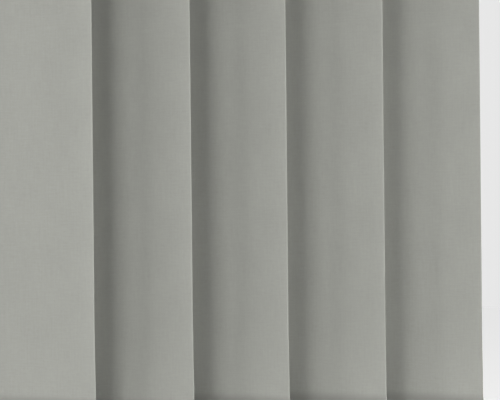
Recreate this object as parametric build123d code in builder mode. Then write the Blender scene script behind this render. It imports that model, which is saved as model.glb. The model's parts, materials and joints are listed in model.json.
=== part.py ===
"""A wand-operated vertical blind: a slotted headrail, five gliding carriers and their fabric vanes.

The origin is the middle of the line through the two bracket holes, on the brackets' top face.
+X runs along the headrail, -Y faces the room and +Z is up.
"""

from build123d import *
import os
from math import cos, radians, sin

os.makedirs("parts", exist_ok=True)

# ---------------------------------------------------------------- driving dimensions, mm
VANE_COUNT = 5
VANE_WIDTH = 89.0
VANE_PITCH = 79.0
VANE_DROP = 1000.0
VANE_ANGLE = 16.0  # between a vane and the rail, right edge forward
FABRIC = 0.5
TOP_POCKET = 26.0
BOTTOM_POCKET = 38.0
POCKET_EASE = 0.15  # between a pocket's layers and what it holds
HANGER_THICK = 1.0
HANGER_HEIGHT = 21.0
HANGER_INSET = 2.5
NECK_WIDTH = 14.0
NECK_RISE = 12.0
NECK_ROOT = 1.0  # how far the neck runs into its plate
HOLE_WIDTH = 8.0
HOLE_HEIGHT = 5.0
WEIGHT_THICK = 1.4
WEIGHT_HEIGHT = 30.0
WEIGHT_INSET = 2.0
WEIGHT_CORNER = 3.0

RAIL_WIDTH = 44.0
RAIL_HEIGHT = 36.0
RAIL_WALL = 1.5
RAIL_SLOT = 16.0
LIP = 3.0  # how far the top shelves stand out beyond the sides
GROOVE_WIDTH = 28.0
GROOVE_DEPTH = 4.0
RAIL_CORNER = 1.2
END_ROOM = 48.0  # from the last stem to the rail's end
WAND_ROOM = 25.0  # from the wand carriage to the rail's end
WAND_OFFSET = 58.0  # from the lead stem to the wand carriage

BRACKET_THICK = 1.5
BRACKET_WIDTH = 22.0
BRACKET_SPACING = 300.0
BRACKET_HOLE = 2.3
BRACKET_TAIL = 9.0

CARRIER_LENGTH = 18.0
GLIDE = 0.3  # between a carrier and the rail round it
DECK_DROP = 3.0  # from the rail's inner ceiling to the carriers' decks
TONGUE_EASE = 0.4
TONGUE_DEPTH = 1.0
CARRIER_CORNER = 0.8

WHEEL_RADIUS = 7.2
WHEEL_HEIGHT = 10.0
WHEEL_TEETH = 12
TOOTH_DEPTH = 1.3
TOOTH_GAP = 1.7
MESH_GAP = 0.3
POCKET_GAP = 0.4
STEM_TOP = 3.0
STEM_TOP_RISE = 6.0
STEM_RADIUS = 4.0
RUNNING = 0.06  # radial clearance of a shaft in its bore
SNAP = 0.87  # a snap-in throat's width over its bore's

ROD_RADIUS = 3.0
FLUTE_RADIUS = 0.9
FLUTES = 3
ROD_EASE = 0.12
WORM_RADIUS = 4.5
WORM_JOURNAL = 4.2
WORM_WALL = 2.8  # thickness of the carrier wall that a worm's journal turns in

FORK_WIDTH = 10.0
FORK_THICK = 4.8
FORK_CORNER = 1.0
FORK_EASE = 0.15
FORK_BELOW = 1.5  # from the fork's end to the vane's top edge
PEG_EASE = 0.3
FORK_TOP = 2.0  # from the rail's underside to the top of the fork's slot
HANG_GAP = 0.2

STRIP_THICK = 0.8
STRIP_WIDTH = 5.0
STRIP_EASE = 0.3
LANE_PITCH = 8.0
ANCHOR_LENGTH = 12.0
LEG_LENGTH = 6.0
LEG_DEPTH = 2.0
LINK_WIDTH = 4.0
LINK_TAIL = 8.0  # how far the link runs past each carrier's middle

CAP_THICK = 3.0
CAP_MARGIN = 0.5
CAP_PLUG = 9.0
CAP_EASE = 0.25
CAP_CORNER = 2.5
CAP_RIB = 1.0  # wall left between the cap's hollow and its bush
BUSH_RADIUS = 5.0
BUSH_LENGTH = 8.0
BUSH_FLANGE = 6.2
FLANGE_THICK = 1.2
PRESS_EASE = 0.02
CLIP_RADIUS = 5.0
CLIP_THICK = 1.2

STOP_LENGTH = 10.0
STOP_BARE = 1.0  # end of the stop that the last strip leaves bare

CARRIAGE_LENGTH = 24.0
BEVEL_SMALL = 3.9
BEVEL_LARGE = 5.9
BEVEL_SETBACK = 0.2
BEVEL_ROOM = 1.1
BEVEL_WELL = 9.0  # how far the gears' well reaches below and in front of the rod
SHAFT_RADIUS = 2.5
SHAFT_HUB = 4.2
SHAFT_SHORT = 9.0  # from the shaft's end to the bend in front of it
ARM_SHORT = 12.0
BRIDGE_SHORT = 16.0
BRIDGE_THICK = 5.0
ARM_RADIUS = 4.5
ARM_REACH = 27.0  # how far in front of the slot's middle the wand hangs
EAR_THICK = 2.5
EAR_RADIUS = 4.2
EAR_ROOT_BACK = (13.6, 8.0)  # where an ear's edges meet its bridge, from the bend
EAR_ROOT_FRONT = (7.0, 13.6)
RING_HALF = 8.0
RING_WALL = 2.4
RING_HEIGHT = 6.0
RING_CORNER = 1.5
PIN_RADIUS = 1.5
FERRULE_RADIUS = 4.2
FERRULE_HEIGHT = 6.0
NECK_RADIUS = 2.6
NECK_FLANGE = 3.8
NECK_DROP = 3.4  # from the ferrule down to the wand's shoulder
EAR_GAP = 0.3
COUPLING_RADIUS = 2.0
COUPLING_BEND = 8.0
PIVOT_BELOW = 1.5  # from the end of the bend to the gimbal's middle
WAND_FLATS = 9.0
WAND_LENGTH = 440.0
GRIP_RADIUS = 6.5
GRIP_LENGTH = 95.0
GRIP_OVERLAP = 60.0
GRIP_NECK = 0.5
GRIP_FLARE = 0.6  # degrees
GRIP_ROUND = 2.0

# ---------------------------------------------------------------- places worked out from them
RAIL_LENGTH = WAND_ROOM + WAND_OFFSET + (VANE_COUNT - 1) * VANE_PITCH + END_ROOM
RAIL_LEFT = -RAIL_LENGTH / 2
RAIL_RIGHT = RAIL_LENGTH / 2
WAND_X = RAIL_LEFT + WAND_ROOM
STEM_X = [WAND_X + WAND_OFFSET + i * VANE_PITCH for i in range(VANE_COUNT)]

RAIL_TOP = -BRACKET_THICK
RAIL_BOTTOM = RAIL_TOP - RAIL_HEIGHT
FLOOR = RAIL_BOTTOM + RAIL_WALL
SIDE = RAIL_WIDTH / 2
INNER = SIDE - RAIL_WALL
CEILING = RAIL_TOP - GROOVE_DEPTH - RAIL_WALL
DECK = CEILING - DECK_DROP
CARRIER_BOTTOM = FLOOR + GLIDE
CARRIER_SIDE = INNER - GLIDE
TONGUE_SIDE = RAIL_SLOT / 2 - TONGUE_EASE
TONGUE_BOTTOM = RAIL_BOTTOM - TONGUE_DEPTH

# The wand's shaft slopes at 45 degrees, through the rod's axis and the middle of the rail's slot.
ROD_Y = WORM_RADIUS + WHEEL_RADIUS + MESH_GAP
ROD_Z = RAIL_BOTTOM + RAIL_WALL / 2 + ROD_Y
WHEEL_BOTTOM = ROD_Z - WHEEL_HEIGHT / 2
WHEEL_TOP = ROD_Z + WHEEL_HEIGHT / 2

FORK_SLOT_TOP = RAIL_BOTTOM - FORK_TOP
HOLE_Z = FORK_SLOT_TOP - NECK_RISE / 2
NECK_TOP = FORK_SLOT_TOP - HANG_GAP
VANE_TOP = NECK_TOP - NECK_RISE
VANE_BOTTOM = VANE_TOP - VANE_DROP
FORK_BOTTOM = VANE_TOP + FORK_BELOW - HANG_GAP
SEAM_Z = VANE_BOTTOM + BOTTOM_POCKET
POCKET_END_Z = VANE_TOP - TOP_POCKET

LANES = [(k - (VANE_COUNT - 2) / 2) * LANE_PITCH for k in range(VANE_COUNT - 1)]
SLOT_LANES = [(LANES[k] + LANES[k + 1]) / 2 for k in range(len(LANES) - 1)]
ARM_LEVEL = DECK + STRIP_THICK + STRIP_EASE

COS = cos(radians(VANE_ANGLE))
SIN = sin(radians(VANE_ANGLE))
SLOPE = (0.0, -sin(radians(45)), -cos(radians(45)))
SHAFT_RUN = (ROD_Y + ARM_REACH) / sin(radians(45))
BEND_Z = ROD_Z - ROD_Y - ARM_REACH
PIVOT_Y = -ARM_REACH
PIVOT_Z = BEND_Z - COUPLING_BEND - PIVOT_BELOW
SHAFT_END = SHAFT_RUN - SHAFT_SHORT
EAR_OUT = RING_HALF + EAR_GAP + EAR_THICK
HALF_CARRIAGE = CARRIAGE_LENGTH / 2


# ---------------------------------------------------------------- planes and small sketches
def level(x: float, y: float, z: float) -> Plane:
    """A level plane at a point."""
    return Plane(origin=(x, y, z))


def across(x: float) -> Plane:
    """The plane across the rail at x, whose own axes are Y and Z."""
    return Plane(origin=(x, 0, 0), x_dir=(0, 1, 0), z_dir=(1, 0, 0))


def vane_level(x: float, z: float) -> Plane:
    """A level plane turned with the vane on the stem at x: its own X runs along the vane's width."""
    return Plane(origin=(x, 0, z), x_dir=(COS, -SIN, 0), z_dir=(0, 0, 1))


def vane_face(x: float, z: float) -> Plane:
    """The upright plane of the vane on the stem at x, facing its thickness, with Z upward."""
    return Plane(origin=(x, 0, z), x_dir=(COS, -SIN, 0), z_dir=(-SIN, -COS, 0))


def vane_side(x: float) -> Plane:
    """The plane across a vane, whose own axes are the vane's thickness and Z."""
    return Plane(origin=(x, 0, 0), x_dir=(SIN, COS, 0), z_dir=(COS, -SIN, 0))


def shaft_face(x: float) -> Plane:
    """The plane through the sloping shaft's axis at x: its own Y runs down the shaft."""
    return Plane(
        origin=(x, ROD_Y, ROD_Z), x_dir=(1, 0, 0), z_dir=(0, sin(radians(45)), -cos(radians(45)))
    )


def shaft_level(x: float, run: float) -> Plane:
    """The plane square to the sloping shaft, run mm down it from the rod's axis."""
    origin = (x, ROD_Y + run * SLOPE[1], ROD_Z + run * SLOPE[2])
    return Plane(origin=origin, x_dir=(1, 0, 0), z_dir=SLOPE)


def bar(low: tuple[float, float], high: tuple[float, float], mode: Mode = Mode.ADD) -> None:
    """A rectangle between two corners, in the sketch that is being drawn."""
    with Locations(((low[0] + high[0]) / 2, (low[1] + high[1]) / 2)):
        Rectangle(high[0] - low[0], high[1] - low[1], mode=mode)


def fluted(ease: float) -> None:
    """The tilt rod's fluted section, larger all round by ease, in the sketch that is being drawn."""
    Circle(ROD_RADIUS + ease)
    with PolarLocations(ROD_RADIUS, FLUTES):
        Circle(FLUTE_RADIUS - ease, mode=Mode.SUBTRACT)


def rod_plane(x: float) -> Plane:
    """The plane across the tilt rod at x."""
    return Plane(origin=(x, ROD_Y, ROD_Z), x_dir=(0, 1, 0), z_dir=(1, 0, 0))


def save(part: Part, name: str) -> None:
    """Label a finished piece and write it."""
    part.label = name
    export_step(part, f"parts/{name}.step")


# ---------------------------------------------------------------- headrail and what closes it
with BuildPart() as headrail:
    with BuildSketch(across(RAIL_LEFT)) as rail_profile:
        for side in (-1, 1):
            y_in = min(side * INNER, side * SIDE)
            bar((y_in, RAIL_BOTTOM), (y_in + RAIL_WALL, RAIL_TOP))
            y_flange = min(side * RAIL_SLOT / 2, side * SIDE)
            bar((y_flange, RAIL_BOTTOM), (y_flange + SIDE - RAIL_SLOT / 2, FLOOR))
            y_groove = min(side * GROOVE_WIDTH / 2, side * (GROOVE_WIDTH / 2 + RAIL_WALL))
            bar((y_groove, CEILING), (y_groove + RAIL_WALL, RAIL_TOP))
            y_shelf = min(side * GROOVE_WIDTH / 2, side * (SIDE + LIP))
            bar((y_shelf, RAIL_TOP - RAIL_WALL), (y_shelf + SIDE + LIP - GROOVE_WIDTH / 2, RAIL_TOP))
        bar((-GROOVE_WIDTH / 2, CEILING), (GROOVE_WIDTH / 2, CEILING + RAIL_WALL))
        outer_corners = rail_profile.vertices().filter_by(
            lambda v: abs(abs(v.Y) - SIDE) < RAIL_WALL / 2 and abs(v.Z - RAIL_BOTTOM) < RAIL_WALL / 2
        )
        fillet(outer_corners, RAIL_CORNER)
    extrude(amount=RAIL_LENGTH)
save(headrail.part, "headrail")


def end_cap(rail_end: float, outward: int) -> Part:
    """A moulded cap that closes one end of the rail and holds a bush for the tilt rod."""
    reach = SIDE + LIP + CAP_MARGIN
    with BuildPart() as cap:
        with BuildSketch(across(rail_end)) as plate:
            bar((-reach, RAIL_BOTTOM - CAP_MARGIN), (reach, RAIL_TOP))
            fillet(plate.vertices(), CAP_CORNER)
        extrude(amount=outward * CAP_THICK)
        with BuildSketch(across(rail_end)):
            bar((-INNER + CAP_EASE, FLOOR + CAP_EASE), (INNER - CAP_EASE, CEILING - CAP_EASE))
        extrude(amount=-outward * CAP_PLUG)
        with BuildSketch(across(rail_end - outward * CAP_PLUG)):
            bar((-INNER + CAP_THICK, FLOOR + CAP_THICK), (ROD_Y - BUSH_FLANGE - CAP_RIB, CEILING - CAP_THICK))
        extrude(amount=outward * (CAP_PLUG - CAP_EASE), mode=Mode.SUBTRACT)
        with BuildSketch(rod_plane(rail_end - outward * CAP_PLUG)):
            Circle(BUSH_RADIUS)
        extrude(amount=outward * BUSH_LENGTH, mode=Mode.SUBTRACT)
    return cap.part


def rod_bush(rail_end: float, outward: int) -> Part:
    """A flanged bush pressed into an end cap, in which the tilt rod turns."""
    face = rail_end - outward * CAP_PLUG
    with BuildPart() as bush:
        with BuildSketch(rod_plane(face)):
            Circle(BUSH_RADIUS - PRESS_EASE)
        extrude(amount=outward * (BUSH_LENGTH - PRESS_EASE))
        with BuildSketch(rod_plane(face)):
            Circle(BUSH_FLANGE)
        extrude(amount=-outward * FLANGE_THICK)
        with BuildSketch(rod_plane(face - outward * FLANGE_THICK)):
            Circle(ROD_RADIUS + RUNNING)
        extrude(amount=outward * (BUSH_LENGTH + FLANGE_THICK), mode=Mode.SUBTRACT)
    return bush.part


for side_name, rail_end, outward in (("left", RAIL_LEFT, -1), ("right", RAIL_RIGHT, 1)):
    save(end_cap(rail_end, outward), f"end_cap_{side_name}")
    save(rod_bush(rail_end, outward), f"rod_bush_{side_name}")


def bracket(x: float) -> Part:
    """A spring-steel ceiling bracket that grips the rail's two top lips."""
    leg = SIDE + LIP + BRACKET_THICK
    hook = RAIL_TOP - RAIL_WALL - HANG_GAP
    with BuildPart() as clip:
        with BuildSketch(across(x - BRACKET_WIDTH / 2)):
            bar((-leg, -BRACKET_THICK), (leg, 0))
            bar((-leg, hook - BRACKET_THICK), (-leg + BRACKET_THICK, 0))
            bar((-leg, hook - BRACKET_THICK), (-SIDE - CAP_MARGIN, hook))
            bar((leg - BRACKET_THICK, -BRACKET_TAIL), (leg, 0))
            bar((SIDE + CAP_MARGIN, hook - BRACKET_THICK), (leg, hook))
        extrude(amount=BRACKET_WIDTH)
        with Locations((x, 0, 0)):
            Hole(BRACKET_HOLE)
    return clip.part


for side_name, side in (("left", -1), ("right", 1)):
    save(bracket(side * BRACKET_SPACING / 2), f"bracket_{side_name}")

# ---------------------------------------------------------------- tilt rod
ROD_LEFT = RAIL_LEFT - PRESS_EASE + CAP_PLUG - BUSH_LENGTH + HANG_GAP
with BuildPart() as tilt_rod:
    with BuildSketch(rod_plane(ROD_LEFT)):
        fluted(0)
    extrude(amount=-2 * ROD_LEFT)
save(tilt_rod.part, "tilt_rod")

CLIP_X = RAIL_RIGHT - CAP_PLUG - FLANGE_THICK - CLIP_THICK - MESH_GAP
with BuildPart() as rod_clips:
    for clip_x in (-CLIP_X - CLIP_THICK, CLIP_X):
        with BuildSketch(rod_plane(clip_x)):
            Circle(CLIP_RADIUS)
            Circle(ROD_RADIUS + PRESS_EASE, mode=Mode.SUBTRACT)
        extrude(amount=CLIP_THICK)
save(rod_clips.part, "rod_clips")


# ---------------------------------------------------------------- carriers
def glider_section(low: float, tongue_low: float) -> None:
    """A glider's section, which fills the rail and reaches down through its slot, in the open sketch."""
    with Locations((0, (low + DECK) / 2)):
        RectangleRounded(2 * CARRIER_SIDE, DECK - low, CARRIER_CORNER)
    bar((-TONGUE_SIDE, tongue_low), (TONGUE_SIDE, low + CARRIER_CORNER))


def front_bore(radius: float, throat: float) -> None:
    """A bore that is open to the room side through a throat, in the open sketch."""
    Circle(radius)
    bar((-throat / 2, -CARRIER_SIDE - GLIDE), (throat / 2, 0))


def carrier_body(x: float) -> Part:
    """A moulded carrier: it snaps round the stem from the front and round the worm from the back."""
    pocket = WHEEL_RADIUS + POCKET_GAP
    inner = CARRIER_LENGTH / 2 - WORM_WALL
    with BuildPart() as body:
        with BuildSketch(across(x - CARRIER_LENGTH / 2)):
            glider_section(CARRIER_BOTTOM, TONGUE_BOTTOM)
        extrude(amount=CARRIER_LENGTH)
        with BuildSketch(level(x, 0, WHEEL_BOTTOM - HANG_GAP)):
            front_bore(pocket, 2 * pocket)
        extrude(amount=WHEEL_HEIGHT + 2 * HANG_GAP, mode=Mode.SUBTRACT)
        with BuildSketch(level(x, 0, WHEEL_TOP)):
            front_bore(STEM_TOP + RUNNING, 2 * STEM_TOP * SNAP)
        extrude(amount=STEM_TOP_RISE + HANG_GAP, mode=Mode.SUBTRACT)
        with BuildSketch(level(x, 0, TONGUE_BOTTOM)):
            front_bore(STEM_RADIUS + RUNNING, 2 * STEM_RADIUS * SNAP)
        extrude(amount=WHEEL_BOTTOM - TONGUE_BOTTOM, mode=Mode.SUBTRACT)
        with BuildSketch(rod_plane(x - inner)):
            Circle(WORM_RADIUS + POCKET_GAP)
            bar((0, -WORM_RADIUS - POCKET_GAP), (CARRIER_SIDE, WORM_RADIUS + POCKET_GAP))
        extrude(amount=2 * inner, mode=Mode.SUBTRACT)
        throat = (WORM_JOURNAL + RUNNING) * SNAP
        with BuildSketch(rod_plane(x - CARRIER_LENGTH / 2)):
            Circle(WORM_JOURNAL + RUNNING)
            bar((0, -throat), (CARRIER_SIDE, throat))
        extrude(amount=CARRIER_LENGTH, mode=Mode.SUBTRACT)
        with BuildSketch(level(x, 0, DECK)):
            for lane in SLOT_LANES:
                with Locations((0, lane)):
                    Rectangle(LEG_LENGTH + 2 * POCKET_EASE, STRIP_THICK + 2 * POCKET_EASE)
        extrude(amount=-LEG_DEPTH - POCKET_EASE, mode=Mode.SUBTRACT)
    return body.part


def worm(x: float) -> Part:
    """The tilt worm's core, keyed on the fluted rod and turning in a carrier."""
    inner = CARRIER_LENGTH / 2 - WORM_WALL - MESH_GAP
    with BuildPart() as core:
        with BuildSketch(rod_plane(x - CARRIER_LENGTH / 2)):
            Circle(WORM_JOURNAL)
        extrude(amount=CARRIER_LENGTH)
        with BuildSketch(rod_plane(x - inner)):
            Circle(WORM_RADIUS)
        extrude(amount=2 * inner)
        with BuildSketch(rod_plane(x - CARRIER_LENGTH / 2)):
            fluted(ROD_EASE)
        extrude(amount=CARRIER_LENGTH, mode=Mode.SUBTRACT)
    return core.part


def stem(x: float) -> Part:
    """A carrier's stem: toothed wheel on top, fork and peg for the vane's hanger below."""
    with BuildPart() as stem_part:
        with BuildSketch(level(x, 0, WHEEL_TOP)):
            Circle(STEM_TOP)
        extrude(amount=STEM_TOP_RISE)
        with BuildSketch(vane_level(x, WHEEL_BOTTOM)):
            Circle(WHEEL_RADIUS)
            with PolarLocations(WHEEL_RADIUS - TOOTH_DEPTH / 2, WHEEL_TEETH):
                Rectangle(TOOTH_DEPTH * 2, TOOTH_GAP, mode=Mode.SUBTRACT)
        extrude(amount=WHEEL_HEIGHT)
        with BuildSketch(level(x, 0, WHEEL_BOTTOM)):
            Circle(STEM_RADIUS)
        extrude(amount=FORK_SLOT_TOP - WHEEL_BOTTOM)
        with BuildSketch(vane_level(x, FORK_BOTTOM)):
            RectangleRounded(FORK_WIDTH, FORK_THICK, FORK_CORNER)
        extrude(amount=FORK_SLOT_TOP + FORK_TOP - GLIDE - TONGUE_DEPTH - FORK_BOTTOM)
        gap = HANGER_THICK + 2 * FORK_EASE
        with BuildSketch(vane_level(x, FORK_BOTTOM)):
            Rectangle(FORK_WIDTH, gap)
        extrude(amount=FORK_SLOT_TOP - FORK_BOTTOM, mode=Mode.SUBTRACT)
        peg_height = HOLE_HEIGHT - 2 * PEG_EASE
        with BuildSketch(vane_level(x, HOLE_Z - peg_height / 2)):
            with Locations((0, PEG_EASE / 2)):
                Rectangle(HOLE_WIDTH - 2 * PEG_EASE, gap - PEG_EASE)
        extrude(amount=peg_height)
    return stem_part.part


for number, stem_x in enumerate(STEM_X, 1):
    save(carrier_body(stem_x), f"carrier_body_{number}")
    save(worm(stem_x), f"worm_{number}")
    save(stem(stem_x), f"stem_{number}")


# ---------------------------------------------------------------- spacer strips
def spacer_strip(own: int) -> Part:
    """The strip fixed on carrier number own + 1, by which the carrier to its left pulls it along."""
    x_own = STEM_X[own]
    x_left = STEM_X[own - 1]
    lane = LANES[own - 1]
    low_lane = LANES[min(own, len(LANES) - 1) - 1]
    edge = ANCHOR_LENGTH / 2
    hook_x = x_left - edge - STRIP_EASE
    with BuildPart() as strip:
        with BuildSketch(level(x_own, low_lane + LANE_PITCH / 2, DECK)):
            Rectangle(ANCHOR_LENGTH, LANE_PITCH + STRIP_WIDTH)
        extrude(amount=STRIP_THICK)
        with BuildSketch(level(x_own, low_lane + LANE_PITCH / 2, DECK)):
            Rectangle(LEG_LENGTH, STRIP_THICK)
        extrude(amount=-LEG_DEPTH)
        with BuildSketch(level(0, lane, DECK)):
            bar((x_own - edge - STRIP_THICK, -STRIP_WIDTH / 2), (x_own - edge, STRIP_WIDTH / 2))
        extrude(amount=ARM_LEVEL + STRIP_THICK - DECK)
        with BuildSketch(level(0, lane, ARM_LEVEL)):
            bar((hook_x - STRIP_THICK, -STRIP_WIDTH / 2), (x_own - edge, STRIP_WIDTH / 2))
        extrude(amount=STRIP_THICK)
        with BuildSketch(level(0, lane, DECK + HANG_GAP)):
            bar((hook_x - STRIP_THICK, -STRIP_WIDTH / 2), (hook_x, STRIP_WIDTH / 2))
        extrude(amount=ARM_LEVEL - DECK)
        if own == VANE_COUNT - 1:
            with BuildSketch(level(x_own, lane, DECK)):
                bar((0, -STRIP_WIDTH / 2), (CARRIER_LENGTH / 2 + STOP_LENGTH - STOP_BARE, STRIP_WIDTH / 2))
            extrude(amount=STRIP_THICK)
    return strip.part


for own in range(1, VANE_COUNT):
    save(spacer_strip(own), f"spacer_strip_{own}")

with BuildPart() as end_stop:
    with BuildSketch(across(STEM_X[-1] + CARRIER_LENGTH / 2)):
        glider_section(FLOOR, RAIL_BOTTOM)
    extrude(amount=STOP_LENGTH)
    with BuildSketch(rod_plane(STEM_X[-1] + CARRIER_LENGTH / 2)):
        Circle(ROD_RADIUS + POCKET_GAP)
        bar((0, -ROD_RADIUS - POCKET_GAP), (CARRIER_SIDE, ROD_RADIUS + POCKET_GAP))
    extrude(amount=STOP_LENGTH, mode=Mode.SUBTRACT)
save(end_stop.part, "end_stop")

# ---------------------------------------------------------------- wand carriage and its gears
with BuildPart() as wand_carriage:
    with BuildSketch(across(WAND_X - HALF_CARRIAGE)):
        glider_section(CARRIER_BOTTOM, TONGUE_BOTTOM)
    extrude(amount=CARRIAGE_LENGTH)
    with BuildSketch(shaft_level(WAND_X, BEVEL_LARGE + SHAFT_HUB)):
        Circle(ARM_RADIUS)
    extrude(amount=SHAFT_RUN - ARM_SHORT - BEVEL_LARGE - SHAFT_HUB)
    with BuildSketch(shaft_level(WAND_X, SHAFT_RUN - BRIDGE_SHORT)):
        RectangleRounded(2 * EAR_OUT, 2 * ARM_RADIUS, FORK_CORNER)
    extrude(amount=BRIDGE_THICK)
    for ear_x in (WAND_X - EAR_OUT, WAND_X + EAR_OUT - EAR_THICK):
        with BuildSketch(across(ear_x)):
            with BuildLine():
                Polyline(
                    (PIVOT_Y + EAR_ROOT_BACK[0], BEND_Z + EAR_ROOT_BACK[1]),
                    (PIVOT_Y + EAR_RADIUS, PIVOT_Z),
                    (PIVOT_Y - EAR_RADIUS, PIVOT_Z),
                    (PIVOT_Y + EAR_ROOT_FRONT[0], BEND_Z + EAR_ROOT_FRONT[1]),
                    close=True,
                )
            make_face()
            with Locations((PIVOT_Y, PIVOT_Z)):
                Circle(EAR_RADIUS)
                Circle(PIN_RADIUS + RUNNING, mode=Mode.SUBTRACT)
        extrude(amount=EAR_THICK)
    room = BEVEL_LARGE + BEVEL_ROOM
    with BuildSketch(across(WAND_X - room)):
        bar((ROD_Y - BEVEL_WELL, ROD_Z - BEVEL_WELL), (CARRIER_SIDE + GLIDE, ROD_Z + room + GLIDE))
    extrude(amount=2 * room, mode=Mode.SUBTRACT)
    with BuildSketch(rod_plane(WAND_X - HALF_CARRIAGE)):
        Circle(WORM_JOURNAL + RUNNING)
        bar((0, -WORM_JOURNAL * SNAP), (CARRIER_SIDE, WORM_JOURNAL * SNAP))
    extrude(amount=CARRIAGE_LENGTH, mode=Mode.SUBTRACT)
    with BuildSketch(shaft_level(WAND_X, BEVEL_SMALL)):
        Circle(SHAFT_HUB + POCKET_GAP)
    extrude(amount=BEVEL_LARGE + SHAFT_HUB - BEVEL_SMALL, mode=Mode.SUBTRACT)
    with BuildSketch(shaft_level(WAND_X, BEVEL_LARGE)):
        Circle(SHAFT_RADIUS + RUNNING)
    extrude(amount=SHAFT_RUN, mode=Mode.SUBTRACT)
save(wand_carriage.part, "wand_carriage")

BEVEL_START = BEVEL_SMALL + BEVEL_SETBACK
BEVEL_END = BEVEL_LARGE + BEVEL_SETBACK
with BuildPart() as rod_bevel:
    with BuildSketch(Plane(origin=(WAND_X, ROD_Y, ROD_Z), x_dir=(0, 1, 0), z_dir=(0, 0, -1))):
        with BuildLine():
            Polyline(
                (0, BEVEL_START),
                (BEVEL_SMALL, BEVEL_START),
                (BEVEL_LARGE, BEVEL_END),
                (WORM_JOURNAL, BEVEL_END),
                (WORM_JOURNAL, HALF_CARRIAGE),
                (0, HALF_CARRIAGE),
                close=True,
            )
        make_face()
    revolve(axis=Axis((WAND_X, ROD_Y, ROD_Z), (1, 0, 0)))
    with BuildSketch(rod_plane(WAND_X)):
        fluted(ROD_EASE)
    extrude(amount=CARRIAGE_LENGTH, mode=Mode.SUBTRACT)
save(rod_bevel.part, "rod_bevel")

with BuildPart() as wand_shaft:
    with BuildSketch(shaft_face(WAND_X)):
        with BuildLine():
            Polyline(
                (0, BEVEL_START),
                (BEVEL_SMALL, BEVEL_START),
                (BEVEL_LARGE, BEVEL_END),
                (SHAFT_HUB, BEVEL_END),
                (SHAFT_HUB, BEVEL_LARGE + SHAFT_HUB - HANG_GAP),
                (SHAFT_RADIUS, BEVEL_LARGE + SHAFT_HUB - HANG_GAP),
                (SHAFT_RADIUS, SHAFT_END),
                (0, SHAFT_END),
                close=True,
            )
        make_face()
    revolve(axis=Axis((WAND_X, ROD_Y, ROD_Z), SLOPE))
save(wand_shaft.part, "wand_shaft")

with BuildPart() as wand_link:
    link_y = -CARRIER_SIDE + CARRIER_CORNER
    with BuildSketch(level(0, 0, DECK)):
        bar((WAND_X - LINK_TAIL, link_y), (STEM_X[0] + LINK_TAIL, link_y + LINK_WIDTH))
        bar(
            (STEM_X[0] - ANCHOR_LENGTH / 2, link_y),
            (STEM_X[0] + ANCHOR_LENGTH / 2, LANES[0] + STRIP_WIDTH / 2),
        )
    extrude(amount=STRIP_THICK)
save(wand_link.part, "wand_link")

# ---------------------------------------------------------------- the wand and its gimbal
NECK_END = PIVOT_Z + FERRULE_HEIGHT / 2 + HANG_GAP + FLANGE_THICK
with BuildPart() as wand_coupling:
    with BuildLine() as bend:
        FilletPolyline(
            (WAND_X, ROD_Y + SHAFT_END * SLOPE[1], ROD_Z + SHAFT_END * SLOPE[2]),
            (WAND_X, PIVOT_Y, BEND_Z),
            (WAND_X, PIVOT_Y, NECK_END + HANG_GAP),
            radius=COUPLING_BEND,
        )
    with BuildSketch(shaft_level(WAND_X, SHAFT_END)):
        Circle(COUPLING_RADIUS)
    sweep()
save(wand_coupling.part, "wand_coupling")

with BuildPart() as wand_ring:
    with BuildSketch(level(WAND_X, PIVOT_Y, PIVOT_Z - RING_HEIGHT / 2)):
        RectangleRounded(2 * RING_HALF, 2 * RING_HALF, RING_CORNER)
        Circle(RING_HALF - RING_WALL, mode=Mode.SUBTRACT)
    extrude(amount=RING_HEIGHT)
    with BuildSketch(Plane(origin=(WAND_X - EAR_OUT, PIVOT_Y, PIVOT_Z), z_dir=(1, 0, 0))):
        Circle(PIN_RADIUS)
    extrude(amount=EAR_OUT - RING_HALF + RING_WALL / 2)
    with BuildSketch(Plane(origin=(WAND_X + EAR_OUT, PIVOT_Y, PIVOT_Z), z_dir=(-1, 0, 0))):
        Circle(PIN_RADIUS)
    extrude(amount=EAR_OUT - RING_HALF + RING_WALL / 2)
    with BuildSketch(Plane(origin=(WAND_X, PIVOT_Y - RING_HALF, PIVOT_Z), z_dir=(0, 1, 0))):
        Circle(PIN_RADIUS + RUNNING)
    extrude(amount=2 * RING_HALF, mode=Mode.SUBTRACT)
save(wand_ring.part, "wand_ring")

with BuildPart() as wand_ferrule:
    with BuildSketch(level(WAND_X, PIVOT_Y, PIVOT_Z - FERRULE_HEIGHT / 2)):
        Circle(FERRULE_RADIUS)
    extrude(amount=FERRULE_HEIGHT)
    with BuildSketch(Plane(origin=(WAND_X, PIVOT_Y - RING_HALF, PIVOT_Z), z_dir=(0, 1, 0))):
        Circle(PIN_RADIUS)
    extrude(amount=2 * RING_HALF)
    with BuildSketch(level(WAND_X, PIVOT_Y, PIVOT_Z - FERRULE_HEIGHT / 2)):
        Circle(NECK_RADIUS + RUNNING)
    extrude(amount=FERRULE_HEIGHT, mode=Mode.SUBTRACT)
save(wand_ferrule.part, "wand_ferrule")

WAND_TOP = PIVOT_Z - FERRULE_HEIGHT / 2 - NECK_DROP
with BuildPart() as wand_rod:
    with BuildSketch(level(WAND_X, PIVOT_Y, WAND_TOP)):
        RegularPolygon(WAND_FLATS / 2, 6, major_radius=False)
    extrude(amount=-WAND_LENGTH)
    with BuildSketch(level(WAND_X, PIVOT_Y, WAND_TOP)):
        Circle(NECK_RADIUS)
    extrude(amount=NECK_END - WAND_TOP)
    with BuildSketch(level(WAND_X, PIVOT_Y, NECK_END - FLANGE_THICK)):
        Circle(NECK_FLANGE)
    extrude(amount=FLANGE_THICK)
save(wand_rod.part, "wand_rod")

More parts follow.
